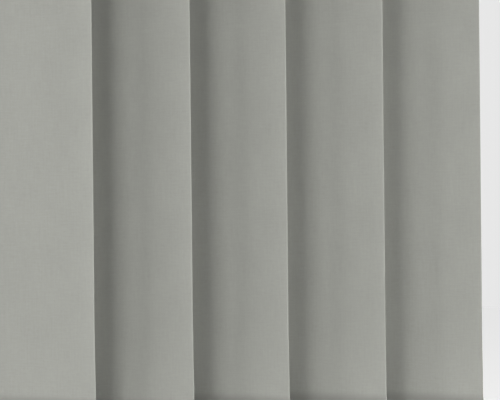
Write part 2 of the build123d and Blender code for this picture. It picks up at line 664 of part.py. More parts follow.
GRIP_TOP = WAND_TOP - WAND_LENGTH + GRIP_OVERLAP
with BuildPart() as wand_grip:
    with BuildSketch(level(WAND_X, PIVOT_Y, GRIP_TOP)):
        Circle(GRIP_RADIUS - GRIP_NECK)
    extrude(amount=-GRIP_LENGTH, taper=-GRIP_FLARE)
    fillet(wand_grip.faces().sort_by(Axis.Z)[0].edges(), GRIP_ROUND)
    with BuildSketch(level(WAND_X, PIVOT_Y, GRIP_TOP)):
        RegularPolygon(WAND_FLATS / 2 + PRESS_EASE, 6, major_radius=False)
    extrude(amount=-GRIP_OVERLAP - PRESS_EASE, mode=Mode.SUBTRACT)
save(wand_grip.part, "wand_grip")


# ---------------------------------------------------------------- vanes
def fabric_vane(x: float) -> Part:
    """A vane's cloth, with a pocket across its top for the hanger and one at its foot for the weight."""
    top_half = HANGER_THICK / 2 + POCKET_EASE
    foot_half = WEIGHT_THICK / 2 + POCKET_EASE
    with BuildPart() as cloth:
        with BuildSketch(vane_side(x)):
            bar((-FABRIC / 2, VANE_BOTTOM), (FABRIC / 2, VANE_TOP))
            bar((-top_half - FABRIC, POCKET_END_Z), (top_half + FABRIC, VANE_TOP))
            bar((-foot_half - FABRIC, VANE_BOTTOM), (foot_half + FABRIC, SEAM_Z))
            bar((-top_half, POCKET_END_Z + FABRIC), (top_half, VANE_TOP - FABRIC), Mode.SUBTRACT)
            bar((-foot_half, VANE_BOTTOM + FABRIC), (foot_half, SEAM_Z - FABRIC), Mode.SUBTRACT)
        extrude(amount=VANE_WIDTH / 2, both=True)
        with BuildSketch(vane_level(x, VANE_TOP)):
            Rectangle(NECK_WIDTH + 2 * PEG_EASE, 2 * top_half)
        extrude(amount=-2 * FABRIC, mode=Mode.SUBTRACT)
    return cloth.part


def hanger(x: float) -> Part:
    """The plastic hanger in a vane's top pocket, whose neck hooks on the stem's peg."""
    top = VANE_TOP - FABRIC - POCKET_EASE
    half_width = VANE_WIDTH / 2 - HANGER_INSET
    with BuildPart() as plate:
        with BuildSketch(vane_face(x, 0)):
            bar((-half_width, top - HANGER_HEIGHT), (half_width, top))
            bar((-NECK_WIDTH / 2, top - NECK_ROOT), (NECK_WIDTH / 2, NECK_TOP))
            with Locations((0, HOLE_Z)):
                Rectangle(HOLE_WIDTH, HOLE_HEIGHT, mode=Mode.SUBTRACT)
        extrude(amount=HANGER_THICK / 2, both=True)
    return plate.part


def vane_weight(x: float) -> Part:
    """The flat weight in a vane's bottom pocket."""
    low = VANE_BOTTOM + FABRIC + POCKET_EASE
    with BuildPart() as plate:
        with BuildSketch(vane_face(x, low + WEIGHT_HEIGHT / 2)):
            RectangleRounded(VANE_WIDTH - 2 * WEIGHT_INSET, WEIGHT_HEIGHT, WEIGHT_CORNER)
        extrude(amount=WEIGHT_THICK / 2, both=True)
    return plate.part


for number, stem_x in enumerate(STEM_X, 1):
    save(fabric_vane(stem_x), f"vane_fabric_{number}")
    save(hanger(stem_x), f"vane_hanger_{number}")
    save(vane_weight(stem_x), f"vane_weight_{number}")
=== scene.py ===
"""Looks of a wand-operated vertical blind: cloth vanes, rail, carriers, wand, light and camera."""

import json
import logging
import math
from dataclasses import dataclass, field
from enum import Enum

import bpy
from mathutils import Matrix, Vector, noise


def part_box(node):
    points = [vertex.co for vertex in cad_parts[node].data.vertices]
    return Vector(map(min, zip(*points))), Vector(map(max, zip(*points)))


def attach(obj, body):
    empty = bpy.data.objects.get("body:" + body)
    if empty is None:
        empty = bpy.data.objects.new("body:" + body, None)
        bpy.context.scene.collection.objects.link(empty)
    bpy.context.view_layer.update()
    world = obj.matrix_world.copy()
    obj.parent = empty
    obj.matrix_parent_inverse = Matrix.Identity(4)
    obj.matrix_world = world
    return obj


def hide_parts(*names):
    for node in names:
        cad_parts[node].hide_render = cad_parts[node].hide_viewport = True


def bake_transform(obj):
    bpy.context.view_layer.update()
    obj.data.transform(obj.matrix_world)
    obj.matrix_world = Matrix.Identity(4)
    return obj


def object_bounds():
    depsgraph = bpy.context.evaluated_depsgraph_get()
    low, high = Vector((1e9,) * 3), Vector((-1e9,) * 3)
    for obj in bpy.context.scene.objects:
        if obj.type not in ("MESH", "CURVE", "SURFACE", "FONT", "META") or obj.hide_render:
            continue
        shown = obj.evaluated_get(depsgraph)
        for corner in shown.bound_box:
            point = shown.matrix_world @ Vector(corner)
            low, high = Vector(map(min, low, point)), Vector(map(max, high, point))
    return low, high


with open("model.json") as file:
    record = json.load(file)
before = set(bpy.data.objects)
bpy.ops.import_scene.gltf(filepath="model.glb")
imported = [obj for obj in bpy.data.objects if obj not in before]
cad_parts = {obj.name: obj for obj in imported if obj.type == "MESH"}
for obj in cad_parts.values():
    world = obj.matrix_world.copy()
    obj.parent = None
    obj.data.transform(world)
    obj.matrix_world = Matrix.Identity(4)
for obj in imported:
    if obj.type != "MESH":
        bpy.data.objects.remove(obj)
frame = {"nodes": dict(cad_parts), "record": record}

log = logging.getLogger("vertical_blind")
CAD_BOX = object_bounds()
MM = 0.001
OPAQUE = 1.0
HALF_TURN_DEG = 180.0

# The Mix node's colour sockets, which share their names with its other sockets.
MIX_SHARE = 0
MIX_FIRST = 6
MIX_SECOND = 7
MIX_RESULT = 2

# The middle of a noise texture's values.
NOISE_MIDDLE = 0.5

# The cloth: thick and thin yarns both ways, blotches, clouds, and how far the weave stands up.
SLUBS_ACROSS = (90.0, 900.0, 1.0)
SLUBS_ALONG = (700.0, 60.0, 1.0)
SLUB_DETAIL = 2.0
BLOTCH_SCALE = 420.0
BLOTCH_DETAIL = 3.0
BLOTCH_ROUGHNESS = 0.6
CLOTH_CLOUD_SCALE = 22.0
CLOTH_CLOUD_DETAIL = 2.0
WEAVE_RELIEF = 0.25

# The painted shade band at the foot weld's crease wanders up and down a little across the vane.
WELD_WANDER = 0.003
WELD_WANDER_SCALE = 12.0
WELD_WANDER_DETAIL = 1.0

# Hard surfaces: fine grain, soft clouds, and where the clouds count as rubbed.
GRAIN_DETAIL = 3.0
GRAIN_SHARE = 0.3
GRAIN_DEPTH = 0.0004
CLOUD_DETAIL = 4.0
CLOUD_SHARE = 0.7
RUB_LIMITS = (0.52, 0.72)
RUB_GLOSS = 0.08
LEAST_ROUGHNESS = 0.05
COAT_WEIGHT = 0.25
COAT_ROUGHNESS = 0.18
CLEAR_SHARE = 0.5


# ---------------------------------------------------------------- small helpers


def joint(name: str) -> dict:
    """Find a joint of the frame.

    Args:
        name: the joint's name.

    Returns:
        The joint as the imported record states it.
    """
    return next(j for j in frame["record"]["behaviour"]["joints"] if j["name"] == name)


def smooth(x: float, low: float, high: float) -> float:
    """Rise smoothly from 0 at low to 1 at high.

    Args:
        x: the value to look up.
        low: where the rise begins.
        high: where it ends.

    Returns:
        A value from 0 to 1.
    """
    t = min(max((x - low) / (high - low), 0.0), 1.0)
    return t * t * (3.0 - 2.0 * t)


def scaled(colour: tuple[float, float, float], factor: float) -> tuple[float, ...]:
    """Make a colour lighter or darker.

    Args:
        colour: red, green and blue, from 0 to 1.
        factor: what to multiply them by.

    Returns:
        The opaque colour, with no part above 1.
    """
    return tuple(min(c * factor, 1.0) for c in colour) + (OPAQUE,)


def new_object(name: str, verts: list, faces: list, uvs: list | None = None) -> bpy.types.Object:
    """Make a mesh object at the origin.

    Args:
        name: the piece's name.
        verts: corner points, in metres.
        faces: tuples of corner numbers.
        uvs: one (u, v) for each corner of verts, or None.

    Returns:
        The new object, linked to the scene.
    """
    mesh = bpy.data.meshes.new(name)
    mesh.from_pydata(verts, [], faces)
    if uvs is not None:
        layer = mesh.uv_layers.new(name="cloth")
        for loop in mesh.loops:
            layer.data[loop.index].uv = uvs[loop.vertex_index]
    mesh.update()
    obj = bpy.data.objects.new(name, mesh)
    bpy.context.scene.collection.objects.link(obj)
    return obj


def shade_smooth(obj: bpy.types.Object, angle_deg: float = 40.0) -> None:
    """Shade a mesh smooth, and keep edges sharper than an angle.

    Args:
        obj: the mesh object.
        angle_deg: the sharpest angle that is still smoothed.
    """
    mesh = obj.data
    mesh.polygons.foreach_set("use_smooth", [True] * len(mesh.polygons))
    mesh.set_sharp_from_angle(angle=math.radians(angle_deg))


def add_node(
    tree: bpy.types.NodeTree,
    kind: str,
    values: dict | None = None,
    **settings: object,
) -> bpy.types.Node:
    """Add a node to a node tree.

    Args:
        tree: the tree that the node goes in.
        kind: the node's type name.
        values: socket name or number to a value, or to the socket that feeds it.
        settings: properties of the node.

    Returns:
        The new node.
    """
    node = tree.nodes.new(kind)
    for label, value in settings.items():
        setattr(node, label, value)
    for label, value in (values or {}).items():
        if isinstance(value, bpy.types.NodeSocket):
            tree.links.new(value, node.inputs[label])
        else:
            node.inputs[label].default_value = value
    return node


def mix_colours(
    tree: bpy.types.NodeTree,
    share: bpy.types.NodeSocket,
    first: object,
    second: object,
) -> bpy.types.NodeSocket:
    """Add a node that mixes two colours.

    Args:
        tree: the tree that the node goes in.
        share: how much of the second colour shows.
        first: a colour, or the socket that gives it.
        second: a colour, or the socket that gives it.

    Returns:
        The mixed colour's socket.
    """
    values = {MIX_SHARE: share, MIX_FIRST: first, MIX_SECOND: second}
    return add_node(tree, "ShaderNodeMix", values, data_type="RGBA").outputs[MIX_RESULT]


def remap(
    tree: bpy.types.NodeTree,
    value: bpy.types.NodeSocket,
    limits: tuple[float, float],
    results: tuple[float, float],
    **settings: object,
) -> bpy.types.NodeSocket:
    """Add a node that turns one range of values into another.

    Args:
        tree: the tree that the node goes in.
        value: the value to look up.
        limits: the two ends of the value's range.
        results: what comes out at those ends.
        settings: properties of the node.

    Returns:
        The result's socket.
    """
    values = {
        "Value": value,
        "From Min": limits[0],
        "From Max": limits[1],
        "To Min": results[0],
        "To Max": results[1],
    }
    return add_node(tree, "ShaderNodeMapRange", values, **settings).outputs[0]


# ---------------------------------------------------------------- node groups


class Group:
    """A shader node group under construction, with named sockets."""

    def __init__(self, name: str, inputs: dict[str, tuple[str, object]], outputs: dict[str, str]) -> None:
        """Start a group.

        Args:
            name: the group's name.
            inputs: socket name to (socket type, default value).
            outputs: socket name to socket type.
        """
        self.tree = bpy.data.node_groups.new(name, "ShaderNodeTree")
        for label, (kind, default) in inputs.items():
            socket = self.tree.interface.new_socket(label, in_out="INPUT", socket_type=kind)
            if default is not None:
                socket.default_value = default
        for label, kind in outputs.items():
            self.tree.interface.new_socket(label, in_out="OUTPUT", socket_type=kind)
        self.start = self.tree.nodes.new("NodeGroupInput").outputs
        self.end = self.tree.nodes.new("NodeGroupOutput").inputs

    def node(self, kind: str, values: dict | None = None, **settings: object) -> bpy.types.Node:
        """Add a node to the group.

        Args:
            kind: the node's type name.
            values: socket name or number to a value, or to the socket that feeds it.
            settings: properties of the node.

        Returns:
            The new node.
        """
        return add_node(self.tree, kind, values, **settings)

    def maths(self, operation: str, first: object, second: object = 0.0) -> object:
        """Add a maths node.

        Args:
            operation: Blender's name of the operation.
            first: a number or a socket.
            second: a number or a socket.

        Returns:
            The result's socket.
        """
        return self.node("ShaderNodeMath", {0: first, 1: second}, operation=operation).outputs[0]

    def clouds(self, place: object, scale: object, detail: float, roughness: float = 0.5) -> object:
        """Add a noise texture.

        Args:
            place: the socket that gives the place.
            scale: a number or a socket.
            detail: how many finer layers it has.
            roughness: how strongly the finer layers show.

        Returns:
            The noise's socket.
        """
        values = {"Vector": place, "Scale": scale, "Detail": detail, "Roughness": roughness}
        return self.node("ShaderNodeTexNoise", values).outputs[0]

    def give(self, label: str, result: object) -> None:
        """Put a result out of the group, at the output of that name."""
        self.tree.links.new(result, self.end[label])


def plain_weave_group() -> bpy.types.NodeTree:
    """Build the cloth's effect: fine crossing threads, thicker and thinner yarns, and soft mottling.

    Returns:
        A group from a flat cloth place to a tint and a height.
    """
    group = Group(
        "plain_weave",
        {
            "Place": ("NodeSocketVector", None),
            "Threads per metre": ("NodeSocketFloat", 2200.0),
            "Yarn": ("NodeSocketFloat", 0.5),
            "Mottle": ("NodeSocketFloat", 0.5),
        },
        {"Tint": "NodeSocketFloat", "Height": "NodeSocketFloat"},
    )
    place = group.start["Place"]
    threads = group.start["Threads per metre"]
    split = group.node("ShaderNodeSeparateXYZ", {0: place}).outputs
    turn = 2.0 * math.pi
    warp = group.maths("SINE", group.maths("MULTIPLY", group.maths("MULTIPLY", split[0], threads), turn))
    weft = group.maths("SINE", group.maths("MULTIPLY", group.maths("MULTIPLY", split[1], threads), turn))
    weave = group.maths("MULTIPLY", warp, weft)
    wide_place = group.node("ShaderNodeMapping", {0: place, "Scale": SLUBS_ACROSS}).outputs[0]
    wide = group.clouds(wide_place, 1.0, SLUB_DETAIL)
    tall_place = group.node("ShaderNodeMapping", {0: place, "Scale": SLUBS_ALONG}).outputs[0]
    tall = group.clouds(tall_place, 1.0, SLUB_DETAIL)
    blotch = group.clouds(place, BLOTCH_SCALE, BLOTCH_DETAIL, BLOTCH_ROUGHNESS)
    cloud = group.clouds(place, CLOTH_CLOUD_SCALE, CLOTH_CLOUD_DETAIL)
    wide_slubs = group.maths("SUBTRACT", wide, NOISE_MIDDLE)
    tall_slubs = group.maths("SUBTRACT", tall, NOISE_MIDDLE)
    lines = group.maths("MULTIPLY", group.maths("ADD", wide_slubs, tall_slubs), group.start["Yarn"])
    small_spots = group.maths("SUBTRACT", blotch, NOISE_MIDDLE)
    large_spots = group.maths("SUBTRACT", cloud, NOISE_MIDDLE)
    spots = group.maths("MULTIPLY", group.maths("ADD", small_spots, large_spots), group.start["Mottle"])
    tint = group.maths("ADD", group.maths("ADD", lines, spots), NOISE_MIDDLE)
    height = group.maths("ADD", group.maths("MULTIPLY", weave, WEAVE_RELIEF), lines)
    group.give("Tint", tint)
    group.give("Height", height)
    return group.tree


def painted_rim_group() -> bpy.types.NodeTree:
    """Build a painted highlight: a narrow lighter band along each long edge of a strip of cloth.

    Returns:
        A group from a place across the strip to a mask.
    """
    group = Group(
        "painted_rim",
        {
            "Place": ("NodeSocketVector", None),
            "Half width": ("NodeSocketFloat", 0.0445),
            "Band": ("NodeSocketFloat", 0.001),
        },
        {"Mask": "NodeSocketFloat"},
    )
    across = group.node("ShaderNodeSeparateXYZ", {0: group.start["Place"]}).outputs[0]
    inward = group.maths("SUBTRACT", group.start["Half width"], group.maths("ABSOLUTE", across))
    share = group.maths("DIVIDE", inward, group.start["Band"])
    fade = group.maths("SUBTRACT", 1.0, share)
    group.give("Mask", group.node("ShaderNodeClamp", {0: fade}).outputs[0])
    return group.tree


def seam_shade_band_group() -> bpy.types.NodeTree:
    """Build painted shade for the crease at a pressed weld across a strip of cloth: a darker band that
    fades out on both sides.

    Returns:
        A group from a flat cloth place to a mask.
    """
    group = Group(
        "seam_shade_band",
        {
            "Place": ("NodeSocketVector", None),
            "Line": ("NodeSocketFloat", 0.0),
            "Reach": ("NodeSocketFloat", 0.007),
        },
        {"Mask": "NodeSocketFloat"},
    )
    place = group.start["Place"]
    wander = group.clouds(place, WELD_WANDER_SCALE, WELD_WANDER_DETAIL)
    along = group.node("ShaderNodeSeparateXYZ", {0: place}).outputs[1]
    offset = group.maths("SUBTRACT", along, group.start["Line"])
    drift = group.maths("MULTIPLY", group.maths("SUBTRACT", wander, NOISE_MIDDLE), WELD_WANDER)
    offset = group.maths("ADD", offset, drift)
    share = group.maths("DIVIDE", group.maths("ABSOLUTE", offset), group.start["Reach"])
    fade = remap(group.tree, share, (0.0, 1.0), (1.0, 0.0), interpolation_type="SMOOTHSTEP")
    group.give("Mask", fade)
    return group.tree


def fine_grain_group() -> bpy.types.NodeTree:
    """Build the effect of moulded, coated and drawn surfaces: fine grain, soft clouds and rubbed streaks.

    Returns:
        A group from a place to a tint, a height and a rub mask.
    """
    group = Group(
        "fine_grain",
        {
            "Place": ("NodeSocketVector", None),
            "Grain": ("NodeSocketFloat", 900.0),
            "Stretch": ("NodeSocketVector", (1.0, 1.0, 1.0)),
            "Cloud": ("NodeSocketFloat", 18.0),
        },
        {"Tint": "NodeSocketFloat", "Height": "NodeSocketFloat", "Rub": "NodeSocketFloat"},
    )
    stretched = group.node(
        "ShaderNodeVectorMath",
        {0: group.start["Place"], 1: group.start["Stretch"]},
        operation="MULTIPLY",
    ).outputs[0]
    grain = group.clouds(stretched, group.start["Grain"], GRAIN_DETAIL)
    cloud = group.clouds(stretched, group.start["Cloud"], CLOUD_DETAIL)
    rub = remap(group.tree, cloud, RUB_LIMITS, (0.0, 1.0))
    soft_part = group.maths("MULTIPLY", cloud, CLOUD_SHARE)
    fine_part = group.maths("MULTIPLY", grain, GRAIN_SHARE)
    group.give("Tint", group.maths("ADD", soft_part, fine_part))
    group.give("Height", grain)
    group.give("Rub", rub)
    return group.tree


# ---------------------------------------------------------------- finishes


class Surface(Enum):
    """The kind of surface that a finish has."""

    MOULDED = "moulded"
    COATED = "coated"
    METAL = "metal"
    CLEAR = "clear"


@dataclass(frozen=True)
class Finish:
    """The finish of a hard piece."""

    slot: str
    colour: tuple[float, float, float]
    surface: Surface
    roughness: float
    spread: float = 0.06
    bump: float = 0.05
    grain: float = 900.0
    stretch: tuple[float, float, float] = (1.0, 1.0, 1.0)


@dataclass(frozen=True)
class ClothFinish:
    """The finish of the vanes' stiffened cloth."""

    slot: str = "vane_cloth"
    colour: tuple[float, float, float] = (0.336, 0.340, 0.312)
    spread: float = 0.10
    threads: float = 2000.0
    yarn: float = 0.55
    mottle: float = 0.5
    roughness: float = 0.88
    # painted highlight: how much lighter the cloth is painted along both long edges, and how wide that band
    # is
    rim_highlight_lift: float = 0.12
    rim_highlight_width: float = 1.1 * MM
    # painted shade: how far the darker band at the foot weld's crease reaches, and how much darker it makes
    # the cloth
    seam_shade_reach: float = 8.5 * MM
    painted_seam_shade: float = 0.25
    specular: float = 0.25
    sheen: float = 0.08
    bump: float = 0.25
    bump_depth: float = 0.0002


FINISHES = (
    Finish("rail", (0.640, 0.640, 0.624), Surface.COATED, 0.34, bump=0.03, grain=1400.0),
    Finish("cap", (0.624, 0.624, 0.608), Surface.MOULDED, 0.46),
    Finish("bush", (0.576, 0.560, 0.496), Surface.MOULDED, 0.42),
    Finish("bracket", (0.600, 0.610, 0.630), Surface.METAL, 0.34, stretch=(0.08, 1.0, 1.0)),
    Finish("carrier", (0.608, 0.608, 0.584), Surface.MOULDED, 0.48),
    Finish("gear", (0.560, 0.544, 0.480), Surface.MOULDED, 0.40),
    Finish("stem", (0.600, 0.600, 0.576), Surface.MOULDED, 0.42),
    Finish("rod", (0.720, 0.730, 0.750), Surface.METAL, 0.28, stretch=(0.03, 1.0, 1.0)),
    Finish("spring_steel", (0.620, 0.630, 0.650), Surface.METAL, 0.30, stretch=(0.05, 1.0, 1.0)),
    Finish("clear_tube", (0.640, 0.656, 0.664), Surface.CLEAR, 0.22),
    Finish("wand", (0.672, 0.672, 0.648), Surface.COATED, 0.16, spread=0.03, bump=0.01),
    Finish("wand_grip", (0.640, 0.640, 0.624), Surface.MOULDED, 0.40),
    Finish("hanger", (0.616, 0.616, 0.592), Surface.MOULDED, 0.38),
    Finish("weight", (0.528, 0.528, 0.512), Surface.COATED, 0.45),
)


class Wardrobe:
    """Makes the materials and puts them on."""

    def __init__(self) -> None:
        """Build the node groups that the materials share."""
        self.weave = plain_weave_group()
        self.edge = painted_rim_group()
        self.weld = seam_shade_band_group()
        self.grain = fine_grain_group()
        self.made: dict[str, bpy.types.Material] = {}

    def blank(self, name: str) -> tuple[bpy.types.Material, bpy.types.NodeTree, bpy.types.Node]:
        """Start a material.

        Args:
            name: the material's name.

        Returns:
            The material, its node tree and its Principled shader.
        """
        material = bpy.data.materials.new(name)
        material.use_nodes = True
        tree = material.node_tree
        return material, tree, tree.nodes["Principled BSDF"]

    def hard(self, finish: Finish) -> bpy.types.Material:
        """Make a hard piece's material.

        Args:
            finish: the finish to make.

        Returns:
            The material.
        """
        material, tree, shader = self.blank(finish.slot)
        values = {
            "Place": add_node(tree, "ShaderNodeTexCoord").outputs["Object"],
            "Grain": finish.grain,
            "Stretch": finish.stretch,
        }
        grain = add_node(tree, "ShaderNodeGroup", values, node_tree=self.grain).outputs
        low = scaled(finish.colour, 1.0 - finish.spread)
        high = scaled(finish.colour, 1.0 + finish.spread)
        tree.links.new(mix_colours(tree, grain["Tint"], low, high), shader.inputs["Base Color"])
        glossier = max(finish.roughness - RUB_GLOSS, LEAST_ROUGHNESS)
        rough = remap(tree, grain["Rub"], (0.0, 1.0), (finish.roughness, glossier))
        tree.links.new(rough, shader.inputs["Roughness"])
        relief = {"Strength": finish.bump, "Distance": GRAIN_DEPTH, "Height": grain["Height"]}
        bump = add_node(tree, "ShaderNodeBump", relief).outputs[0]
        tree.links.new(bump, shader.inputs["Normal"])
        if finish.surface is Surface.METAL:
            shader.inputs["Metallic"].default_value = 1.0
        if finish.surface is Surface.COATED:
            shader.inputs["Coat Weight"].default_value = COAT_WEIGHT
            shader.inputs["Coat Roughness"].default_value = COAT_ROUGHNESS
        if finish.surface is Surface.CLEAR:
            shader.inputs["Transmission Weight"].default_value = CLEAR_SHARE
        return material

    def cloth(self, finish: ClothFinish, half_width: float) -> bpy.types.Material:
        """Make the vanes' cloth.

        Args:
            finish: the cloth's finish.
            half_width: half the vane's width, in metres.

        Returns:
            The material.
        """
        material, tree, shader = self.blank(finish.slot)
        place = add_node(tree, "ShaderNodeUVMap", uv_map="cloth").outputs[0]
        threads = {
            "Place": place,
            "Threads per metre": finish.threads,
            "Yarn": finish.yarn,
            "Mottle": finish.mottle,
        }
        weave = add_node(tree, "ShaderNodeGroup", threads, node_tree=self.weave).outputs
        # painted highlight along both long edges, where the rim catches the light
        band = {"Place": place, "Half width": half_width, "Band": finish.rim_highlight_width}
        edge = add_node(tree, "ShaderNodeGroup", band, node_tree=self.edge).outputs["Mask"]
        # painted shade in the foot weld's crease: a darker band mixed into the cloth's colour
        press = {"Place": place, "Reach": finish.seam_shade_reach}
        weld = add_node(tree, "ShaderNodeGroup", press, node_tree=self.weld).outputs["Mask"]
        low = scaled(finish.colour, 1.0 - finish.spread)
        high = scaled(finish.colour, 1.0 + finish.spread)
        # painted highlight colour for the long edges
        light = scaled(finish.colour, 1.0 + finish.rim_highlight_lift)
        # painted shade colour for the band at the weld crease
        seam_shade_colour = scaled(finish.colour, 1.0 - finish.painted_seam_shade)
        plain = mix_colours(tree, weave["Tint"], low, high)
        with_rim_highlight = mix_colours(tree, edge, plain, light)
        with_seam_shade = mix_colours(tree, weld, with_rim_highlight, seam_shade_colour)
        tree.links.new(with_seam_shade, shader.inputs["Base Color"])
        shader.inputs["Roughness"].default_value = finish.roughness
        shader.inputs["Specular IOR Level"].default_value = finish.specular
        shader.inputs["Sheen Weight"].default_value = finish.sheen
        relief = {"Strength": finish.bump, "Distance": finish.bump_depth, "Height": weave["Height"]}
        bump = add_node(tree, "ShaderNodeBump", relief).outputs[0]
        tree.links.new(bump, shader.inputs["Normal"])
        return material

    def of(self, slot: str) -> bpy.types.Material:
        """Give a hard slot's material, made once.

        Args:
            slot: the slot's name.

        Returns:
            The material.
        """
        if slot not in self.made:
            finish = next(f for f in FINISHES if f.slot == slot)
            self.made[slot] = self.hard(finish)
        return self.made[slot]

    def dress_frame(self) -> None:
        """Put each carried-over piece of the frame in its own finish."""
        slots = {s["node"]: s["material_slot"] for s in frame["record"]["subparts"]}
        for name, obj in frame["nodes"].items():
            if slots[name] == ClothFinish.slot:
                continue
            for place in obj.material_slots:
                place.material = self.of(slots[name])


# ---------------------------------------------------------------- cloth vanes


@dataclass(frozen=True)
class VaneFit:
    """How one vane hangs and curls, which differs a little from vane to vane."""

    lean: float
    seam_shift: float
    edge_curl: float


VANE_FITS = (
    VaneFit(lean=0.0, seam_shift=0.0, edge_curl=2.1 * MM),
    VaneFit(lean=1.2 * MM, seam_shift=-3.0 * MM, edge_curl=2.15 * MM),
    VaneFit(lean=0.0, seam_shift=0.4 * MM, edge_curl=2.2 * MM),
    VaneFit(lean=0.0, seam_shift=0.8 * MM, edge_curl=2.25 * MM),
    VaneFit(lean=0.0, seam_shift=0.0, edge_curl=2.2 * MM),
)


def measure_line(line: list[tuple[float, float]]) -> tuple[list[tuple[float, float]], list[float]]:
    """Measure a traced line.

    Args:
        line: (depth, height) pairs.

    Returns:
        For each point, the direction square to the line, and the line's length up to there.
    """
    normals: list[tuple[float, float]] = []
    lengths = [0.0]
    last = len(line) - 1
    for j in range(len(line)):
        a = line[max(j - 1, 0)]
        b = line[min(j + 1, last)]
        way = Vector((b[0] - a[0], b[1] - a[1])).normalized()
        normals.append((-way[1], way[0]))
        if j:
            lengths.append(lengths[-1] + math.dist(line[j - 1], line[j]))
    return normals, lengths


@dataclass
class ClothVane:
    """One vane: a strip of stiff cloth, folded and welded into a pocket at each end."""

    number: int
    fit: VaneFit
    width: float = 89.0 * MM
    cloth: float = 0.5 * MM
    angle_deg: float = 16.0
    top_pocket: float = 26.0 * MM
    foot_pocket: float = 38.0 * MM
    top_bulge: float = 0.9 * MM
    foot_bulge: float = 1.1 * MM
    top_taper: float = 6.0 * MM
    foot_taper: float = 7.0 * MM
    hem: float = 4.0 * MM
    top_hem_gap: float = 0.1 * MM
    foot_hem_gap: float = 0.05 * MM
    dent_height: float = 9.0 * MM
    dent_depth: float = 0.75 * MM
    slit: float = 7.2 * MM
    rim: float = 0.5 * MM
    curl: float = 0.6 * MM
    edge_reach: float = 25.0 * MM
    rear_curl: float = 1.3 * MM
    rear_reach: float = 15.0 * MM
    seam_fall: float = 1.2 * MM
    seam_reach: float = 30.0 * MM
    lean_drop: float = 0.9
    held_share: float = 0.22
    foot_held: tuple[float, float] = (30.0 * MM, 110.0 * MM)
    top_held: tuple[float, float] = (20.0 * MM, 90.0 * MM)
    wave: float = 0.25 * MM
    wave_scale: tuple[float, float, float] = (9.0, 5.0, 7.3)
    columns: int = 36
    body_rows: int = 120
    weld_rows: int = 12
    taper_rows: int = 7
    top_wall_rows: int = 4
    foot_wall_rows: int = 6
    fold_rows: int = 9
    hem_rows: int = 4
    smooth_angle_deg: float = 50.0
    seam_row: int = 0
    flat_length: float = 0.0
    obj: bpy.types.Object | None = field(default=None, repr=False)

    def axes(self) -> tuple[Vector, Vector]:
        """Give the directions across the vane's width and through its thickness.

        Returns:
            Two level unit vectors; the second points away from the room.
        """
        turn = math.radians(self.angle_deg)
        return Vector((math.cos(turn), -math.sin(turn), 0)), Vector((math.sin(turn), math.cos(turn), 0))

    def top_path(self, top: float) -> list[tuple[float, float]]:
        """Trace the cloth from the top's hem over the pocket to the foot of its front taper.

        Args:
            top: the vane's highest height.

        Returns:
            (depth, height) pairs in metres.
        """
        seam = top - self.top_pocket
        back = self.cloth + self.top_hem_gap
        bulge = self.top_bulge
        rows = self.taper_rows
        line: list[tuple[float, float]] = []
        for i in range(rows + 1):
            line.append((back, seam - self.hem * (1 - i / rows)))
        for i in range(1, rows + 1):
            t = i / rows
            line.append((back + (bulge - back) * smooth(t, 0, 1), seam + self.top_taper * t))
        crown = top - self.cloth / 2 - bulge
        shoulder = seam + self.top_taper
        for i in range(1, self.top_wall_rows + 1):
            rise = (crown - seam - self.top_taper) * i / self.top_wall_rows
            line.append((bulge, shoulder + rise))
        for i in range(1, self.fold_rows):
            a = math.pi * i / self.fold_rows
            line.append((bulge * math.cos(a), crown + bulge * math.sin(a)))
        for i in range(self.top_wall_rows + 1):
            line.append((-bulge, crown + (shoulder - crown) * i / self.top_wall_rows))
        for i in range(1, rows + 1):
            t = i / rows
            line.append((-bulge * (1 - smooth(t, 0, 1)), seam + self.top_taper * (1 - t)))
        return line

    def foot_path(self, bottom: float, seam: float) -> list[tuple[float, float]]:
        """Trace the cloth from below the foot's weld round the pocket to its hem.

        Args:
            bottom: the vane's lowest height.
            seam: the weld's height.

        Returns:
            (depth, height) pairs in metres.
        """
        bulge = self.foot_bulge
        press = self.dent_depth
        fall = self.foot_taper
        line: list[tuple[float, float]] = []
        for i in range(1, self.weld_rows + 1):
            t = i / self.weld_rows
            line.append((press + (-bulge - press) * smooth(t, 0, 1), seam - fall * t))
        keel = bottom + self.cloth / 2 + bulge
        for i in range(1, self.foot_wall_rows + 1):
            line.append((-bulge, seam - fall + (keel - seam + fall) * i / self.foot_wall_rows))
        for i in range(1, self.fold_rows):
            a = math.pi + math.pi * i / self.fold_rows
            line.append((bulge * math.cos(a), keel + bulge * math.sin(a)))
        for i in range(self.foot_wall_rows + 1):
            line.append((bulge, keel + (seam - fall - keel) * i / self.foot_wall_rows))
        behind = press + self.cloth + self.foot_hem_gap
        for i in range(1, self.taper_rows + 1):
            t = i / self.taper_rows
            line.append((bulge + (behind - bulge) * smooth(t, 0, 1), seam - fall * (1 - t)))
        for i in range(1, self.hem_rows + 1):
            line.append((behind, seam + self.hem * i / self.hem_rows))
        return line

    def path(self) -> list[tuple[float, float]]:
        """Trace the cloth's own middle line, from the hem behind the top to the hem behind the foot.

        Returns:
            (depth, height) pairs in metres.
        """
        low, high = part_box(f"vane_fabric_{self.number}")
        seam = low[2] + self.foot_pocket + self.fit.seam_shift
        line = self.top_path(high[2])
        body_top = high[2] - self.top_pocket - self.top_taper
        body_low = seam + self.dent_height
        for i in range(self.body_rows + 1):
            line.append((0.0, body_top + (body_low - body_top) * i / self.body_rows))
        for i in range(1, self.weld_rows + 1):
            t = i / self.weld_rows
            line.append((self.dent_depth * smooth(t, 0, 1), seam + self.dent_height * (1 - t)))
        self.seam_row = len(line) - 1
        return line + self.foot_path(low[2], seam)

